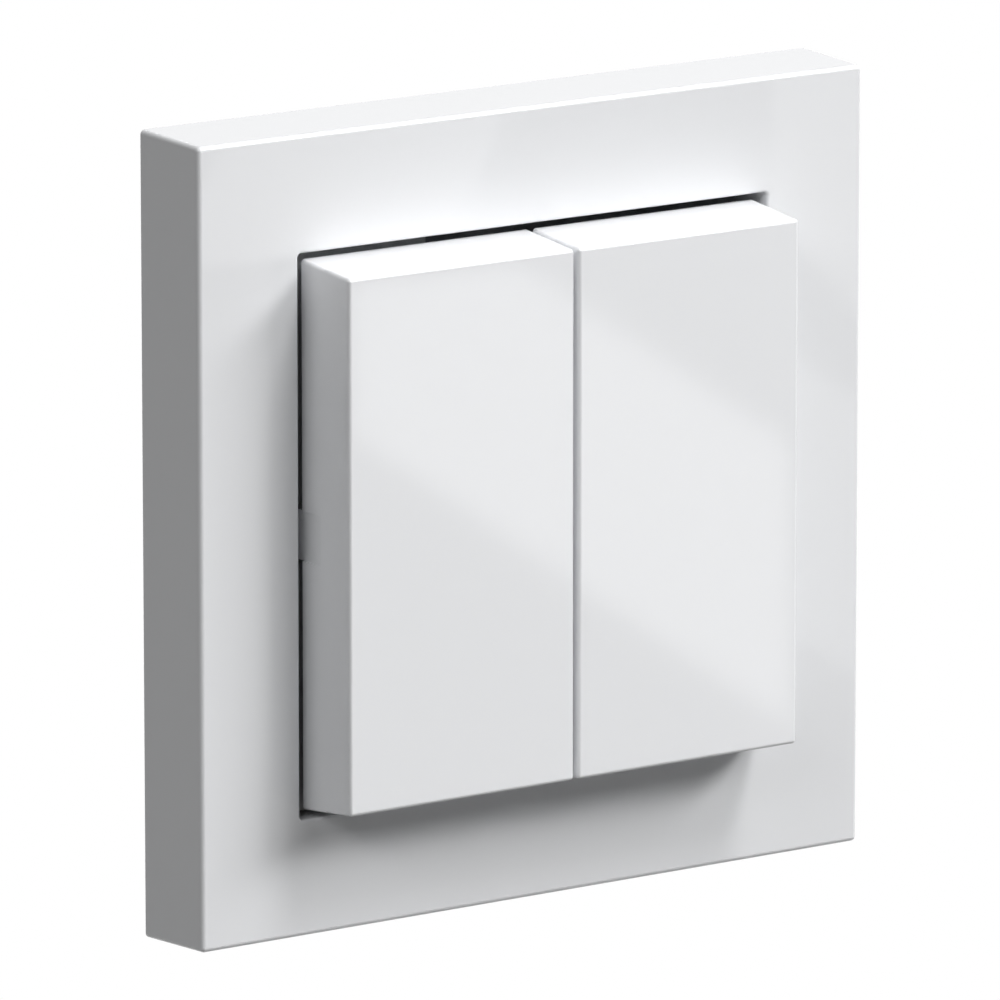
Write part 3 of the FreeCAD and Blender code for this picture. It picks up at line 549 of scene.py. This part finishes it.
def add_wedge(shape, foot, out, across, half, reach, climb):
    """Add the solder along a straight edge."""
    curve = hollow_curve(reach, climb)
    rows = [[foot + out * far + OFF_BOARD * up + across * side for far, up in curve]
            for side in (-half, half)]
    close_rows(shape, rows, ring=False)


def add_collar(shape, middle, radius, reach, climb):
    """Add the solder round a wire."""
    curve = hollow_curve(reach, climb)
    rows = []
    for step in range(COLLAR_STEPS):
        turn = math.tau * step / COLLAR_STEPS
        out = Vector((math.cos(turn), 0, math.sin(turn)))
        rows.append([middle + out * (radius + far) + OFF_BOARD * up for far, up in curve])
    close_rows(shape, rows, ring=True)


print("corners in the outline of a joint:", len(hollow_curve(1.0, 1.0)))

# %% [markdown]
# ## Solder joints
# Every cap and every lead gets a wedge where it meets the board. So do the crystal's can and the
# feet of the cell's contacts, and along the wide ones it stays lower than it is broad. The
# aerial's two legs go into the board like wires, so each gets a collar.

# %% Joints
LEAD_SOLDER = 0.16 * MM
CAP_SOLDER = 0.4 * MM
FOOT_SOLDER = 0.3 * MM
COLLAR_SOLDER = 0.6 * MM
joints = bmesh.new()
for low, high in blocks:
    middle_x = (low.x + high.x) / 2
    for end, out in ((low.z, -UP), (high.z, UP)):
        foot = Vector((middle_x, board_back, end)) + out * CAP_SKIN.z
        add_wedge(joints, foot, out, RIGHT, (high.x - low.x) / 2, CAP_SOLDER, CAP_SOLDER)
for foot, out, across in lead_feet:
    add_wedge(joints, foot, out, across, LEAD_HALF, LEAD_SOLDER, LEAD_SOLDER)
for node in ("battery_minus_contact", "crystal"):
    low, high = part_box(node)
    for end, out in ((low.z, -UP), (high.z, UP)):
        foot = Vector(((low.x + high.x) / 2, board_back, end))
        add_wedge(joints, foot, out, RIGHT, (high.x - low.x) / 2, FOOT_SOLDER, FOOT_SOLDER / 2)
low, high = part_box("battery_plus_contact")
foot = Vector(((low.x + high.x) / 2, board_back, high.z))
add_wedge(joints, foot, UP, RIGHT, (high.x - low.x) / 2, FOOT_SOLDER, FOOT_SOLDER)
low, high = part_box("antenna_wire")
wire_radius = (high.z - low.z) / 2
for leg_x in (low.x + wire_radius, high.x - wire_radius):
    foot = Vector((leg_x, board_back, low.z + wire_radius))
    add_collar(joints, foot, wire_radius, COLLAR_SOLDER, COLLAR_SOLDER)
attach(new_piece("solder_joints", joints, solder), "base")

# %% [markdown]
# ## The mats and their pills
# The silicone mats are the only soft pieces. Under each dome's top a thin skirt runs down to the
# strip. A plunger pushes the top in, the skirt gives, and the carbon pill under it reaches the
# board. Each mat is cut in two at mid-height, between its domes, and each half is closed where it
# was cut. The pills are stuck under the tops, so they ride on the plungers, and their moulded rims
# are rounded.

# %% Soft mats and pills
PILL_ROUND = 0.06 * MM
SHARP = math.radians(30)


def shade(shape):
    """Smooth the round faces and keep the sharp edges sharp."""
    for face in shape.faces:
        face.smooth = True
    for edge in shape.edges:
        edge.smooth = edge.calc_face_angle(0.0) < SHARP


for side in SIDES:
    mat = side + "_contact_mat"
    for level in LEVELS:
        plunger = side + "_" + level + "_plunger"
        half = copy_of(mat)
        bmesh.ops.bisect_plane(
            half, geom=half.verts[:] + half.edges[:] + half.faces[:], plane_co=(0, 0, 0),
            plane_no=UP, clear_inner=level == "upper", clear_outer=level == "lower")
        bmesh.ops.edgeloop_fill(half, edges=[edge for edge in half.edges if edge.is_boundary])
        shade(half)
        soft = new_piece(side + "_" + level + "_mat_half", half, silicone)
        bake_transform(soft)
        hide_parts(mat)

        pill = copy_of(side + "_" + level + "_contact_pill")
        rims = [edge for edge in pill.edges if edge.calc_face_angle(0.0) > SHARP]
        bmesh.ops.bevel(pill, geom=rims, offset=PILL_ROUND, segments=2, affect="EDGES")
        shade(pill)
        hard = new_piece(side + "_" + level + "_pill", pill, carbon)
        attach(hard, plunger)
        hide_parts(side + "_" + level + "_contact_pill")

# %% [markdown]
# ## The studio
# The switch hangs as on a wall, in the middle of a white room. The room is the world: white to the
# camera and in reflections, but as a light only a weak, even glow, which lifts the shadows a
# little. The rim of the floor needs the same switch, so one small function makes it for both.

# %% World
AMBIENT = 0.03
WHITE = linear("ffffff")


def white_to_the_eye(tree):
    """The strength of a white glow: 1 where it is seen, mirrored or seen through, else weak."""
    rays = add_node(tree, "ShaderNodeLightPath").outputs
    seen = add_node(tree, "ShaderNodeMath",
                    [(0, rays["Is Camera Ray"]), (1, rays["Is Glossy Ray"])], operation="MAXIMUM")
    in_view = add_node(tree, "ShaderNodeMath",
                       [(0, seen.outputs[0]), (1, rays["Is Transmission Ray"])],
                       operation="MAXIMUM")
    return add_node(tree, "ShaderNodeMapRange", [("Value", in_view.outputs[0])],
                    [("To Min", AMBIENT), ("To Max", 1.0)])


world = bpy.data.worlds.new("studio")
bpy.context.scene.world = world
world.use_nodes = True
studio = world.node_tree
studio.nodes.clear()
strength = white_to_the_eye(studio).outputs["Result"]
glow = add_node(studio, "ShaderNodeBackground", [("Strength", strength)], [("Color", WHITE)])
add_node(studio, "ShaderNodeOutputWorld", [("Surface", glow.outputs[0])])
print("ambient light:", AMBIENT)

# %% [markdown]
# ## Paper below
# Nothing stands under the switch. A round sheet of pale paper lies on the floor, 1.05 m below as
# in a room, and catches its shadow. Towards its rim the paper turns into plain white, the same
# white as the world, so that no edge shows.

# %% Paper
FLOOR_DROP = 1.05
FLOOR_RADIUS = 0.9
FADE_START = 0.3 * FLOOR_RADIUS
FADE_END = 0.95 * FLOOR_RADIUS
paper_mesh = bpy.data.meshes.new("paper")
shape = bmesh.new()
bmesh.ops.create_circle(shape, cap_ends=True, segments=96, radius=FLOOR_RADIUS)
shape.to_mesh(paper_mesh)
shape.free()
paper = add_object("paper", paper_mesh)
paper.location = (0, 0, -FLOOR_DROP)

paper_finish = Finish("pale_seamless_paper", "f2f2f1", 0.9)
paper_finish.dent(size_mm=0.8, depth_mm=0.03, strength=0.4)
from_middle = paper_finish.add("ShaderNodeVectorMath", [(0, paper_finish.place)],
                               operation="LENGTH")
rim = paper_finish.add("ShaderNodeMapRange", [("Value", from_middle.outputs["Value"])],
                       [("From Min", FADE_START), ("From Max", FADE_END)],
                       interpolation_type="SMOOTHSTEP")
rim_strength = white_to_the_eye(paper_finish.tree).outputs["Result"]
white = paper_finish.add("ShaderNodeEmission", [("Strength", rim_strength)], [("Color", WHITE)])
faded = paper_finish.add("ShaderNodeMixShader",
                         [("Fac", rim.outputs["Result"]), (1, paper_finish.shader.outputs[0]),
                          (2, white.outputs[0])])
paper_finish.show(faded.outputs[0])
paper_mesh.materials.append(paper_finish.material)
paper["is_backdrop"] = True
print("paper", FLOOR_DROP, "m below")

# %% [markdown]
# ## The lamps
# Five softboxes light the switch. One on the right and a high one ahead do most of the work: they
# light the fronts and the tops, and throw the soft shadows below and to the left of the rockers. A
# weaker one in front evens the fronts out, and a broad one on the camera's side opens the shadows
# and lights the left sides. The fifth stands behind the wall plane, for whoever looks at the back.
# It isn't mirrored, because the flat screw heads there would only throw it back as white spots.
# An area lamp's power is worked out from the light it should throw, so that a lamp can be moved or
# resized without growing brighter or darker.

# %% Softboxes
LAMP_DISTANCE = 2.4


def softbox(name, turn_deg, rise_deg, width, height, level):
    """A rectangular lamp aimed at the switch. Level is the light on a face turned towards it."""
    data = bpy.data.lights.new(name, "AREA")
    data.shape = "RECTANGLE"
    data.size = width
    data.size_y = height
    data.energy = level * math.pi ** 2 * LAMP_DISTANCE ** 2
    lamp = add_object(name, data)
    back = outward(math.radians(turn_deg), math.radians(rise_deg))
    lamp.location = back * LAMP_DISTANCE
    lamp.rotation_mode = "QUATERNION"
    lamp.rotation_quaternion = back.to_track_quat("Z", "Y")
    return lamp


softbox("left_softbox", -62, 32, 1.5, 0.6, 0.24)
softbox("front_softbox", 16, 32, 1.2, 0.6, 0.21)
softbox("right_softbox", 49, 32, 1.1, 0.6, 0.59)
softbox("high_softbox", 30, 61, 0.6, 0.85, 0.52)
wall_side = softbox("wall_side_softbox", 156, -8, 0.8, 0.5, 0.72)
wall_side.visible_glossy = False

# %% [markdown]
# ## The wall of light: painted reflections
# Gloss is only seen by what it mirrors. The reflections on the polished fronts are painted:
# glowing panels with soft edges, which are no lamps, stand low on the right, just where the
# polished fronts mirror them into the camera. They show in reflections only, so they light nothing
# and never get in a picture. The shape of each is the overlap of a few soft edges.
# An edge is a direction across the panel and two distances in millimetres, from where the light
# starts to where it is full. The panels stand 2 mm behind each other. The plane of the first is
# given by its middle and by the directions to its right and its top.

# %% The wall of light
PANEL_PLACE = Vector((341.6, -493.1, -126.1)) * MM
PANEL_RIGHT = Vector((-0.8127, -0.5827, 0.0))
PANEL_UP = Vector((0.1230, -0.1716, 0.9775))
PANEL_FACE = PANEL_RIGHT.cross(PANEL_UP)
PANEL_TURN = Matrix((PANEL_RIGHT, PANEL_UP, PANEL_FACE)).transposed().to_4x4()


def soft_overlap(finish, edges_mm):
    """The product of soft steps, one for each edge: 1 inside all the edges and 0 outside."""
    light = None
    for (across_x, across_y), start_mm, full_mm in edges_mm:
        reach = finish.add("ShaderNodeVectorMath", [(0, finish.place)],
                           [(1, (across_x, across_y, 0.0))], operation="DOT_PRODUCT")
        step = finish.add("ShaderNodeMapRange", [("Value", reach.outputs["Value"])],
                          [("From Min", start_mm * MM), ("From Max", full_mm * MM)],
                          interpolation_type="SMOOTHSTEP").outputs["Result"]
        if light is not None:
            step = finish.add("ShaderNodeMath", [(0, light), (1, step)],
                              operation="MULTIPLY").outputs[0]
        light = step
    return light


def painted_reflection_panel(name, behind_mm, low_mm, high_mm, glow, edges_mm):
    """A panel of painted reflection on the wall of light. It glows where all its edges let it."""
    (left, bottom), (right, top) = low_mm, high_mm
    mesh = bpy.data.meshes.new(name)
    corners = [(left, bottom), (right, bottom), (right, top), (left, top)]
    mesh.from_pydata([(x * MM, y * MM, 0) for x, y in corners], [], [(0, 1, 2, 3)])
    panel = add_object(name, mesh)
    panel.matrix_world = Matrix.Translation(PANEL_PLACE - PANEL_FACE * behind_mm * MM) @ PANEL_TURN
    panel.visible_camera = False
    panel.visible_diffuse = False
    panel.visible_transmission = False
    panel.visible_shadow = False
    finish = Finish("lit_" + name, "ffffff", 1.0)
    clear = finish.add("ShaderNodeBsdfTransparent")
    lit = finish.add("ShaderNodeEmission", inputs=[("Strength", glow)])
    light = soft_overlap(finish, edges_mm)
    mixed = finish.add("ShaderNodeMixShader",
                       [("Fac", light), (1, clear.outputs[0]), (2, lit.outputs[0])])
    finish.show(mixed.outputs[0])
    mesh.materials.append(finish.material)
    panel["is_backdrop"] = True
    print(name, "edges:", len(edges_mm))


print("the wall of light is", round(PANEL_PLACE.length, 3), "m away")

# %% [markdown]
# ## The panels
# The strongest panel paints a reflection: a slanting band of light across both rockers. The frame
# lies deeper, so it mirrors other places of the same wall: a faint painted reflection at its top
# left corner, and two faint painted patches down its right side. Each of those has a faint panel of
# its own.

# %% Panels
# The glows below are painted reflections, seen only in gloss; the panels light nothing.
PAINTED_BAND_GLOW = 2.65
PAINTED_FAINT_GLOW = 1.8
SLANT = math.radians(33.6)
TO_RIGHT = (1.0, 0.0)
TO_TOP = (0.0, 1.0)
ACROSS_TOP = (0.141, 0.990)
across_band = (-math.sin(SLANT), math.cos(SLANT))
painted_reflection_panel("painted_reflection_band", 0, (-38, -50), (38, 50), PAINTED_BAND_GLOW, [
    (across_band, 28.6, 23.8),
    (across_band, -11.6, -6.8),
    (TO_RIGHT, 34.2, 32.0),
    (TO_RIGHT, -33.4, -31.0),
    (ACROSS_TOP, 38.8, 36.6),
])
painted_reflection_panel("painted_reflection_top_left", 2, (-2, 34), (52, 70), PAINTED_FAINT_GLOW, [
    (TO_TOP, 34.6, 35.2),
    (ACROSS_TOP, 38.7, 39.3),
    ((-0.877, -0.480), -65.4, -64.8),
    ((0.937, 0.350), 22.9, 23.5),
])
painted_reflection_panel("painted_reflection_right_side", 4, (-53, -40), (-40, 40), PAINTED_FAINT_GLOW, [
    (across_band, 40.7, 40.0),
    (across_band, 4.7, 5.4),
])
painted_reflection_panel("painted_reflection_top_right", 6, (-53, 22), (-38, 70), PAINTED_FAINT_GLOW, [
    ((-0.746, 0.666), 55.8, 56.4),
])

# %% [markdown]
# ## Sizes
# The box round the dressed model is printed, in millimetres.

# %% Sizes and finish
low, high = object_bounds()
print("visual size mm", [round((b - a) / MM, 2) for a, b in zip(low, high)])
